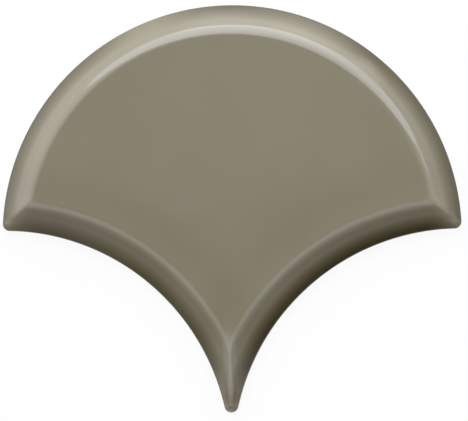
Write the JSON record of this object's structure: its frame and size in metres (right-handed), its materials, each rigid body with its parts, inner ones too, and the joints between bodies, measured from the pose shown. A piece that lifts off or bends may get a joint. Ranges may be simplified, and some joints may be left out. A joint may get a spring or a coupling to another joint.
{
  "type": "fish scale tile",
  "caption": "Glazed ceramic fish scale wall tile: half-round crown, two hollow flanks that meet in a blunt point, a flat face and a wide rounded bevel mitred at the corners.",
  "frame": {"origin": "centre of the crown's circle, on the back face that the tile lies on or is bedded with", "axes": "+Z out of the glazed face, +Y towards the top of the crown, +X to the right seen from the face"},
  "size_m": [0.1498, 0.1326, 0.01],
  "materials": {
    "glaze": "gloss"
  },
  "bodies": {
    "root": {"fish_scale_tile": "glaze"}
  },
  "joints": []
}
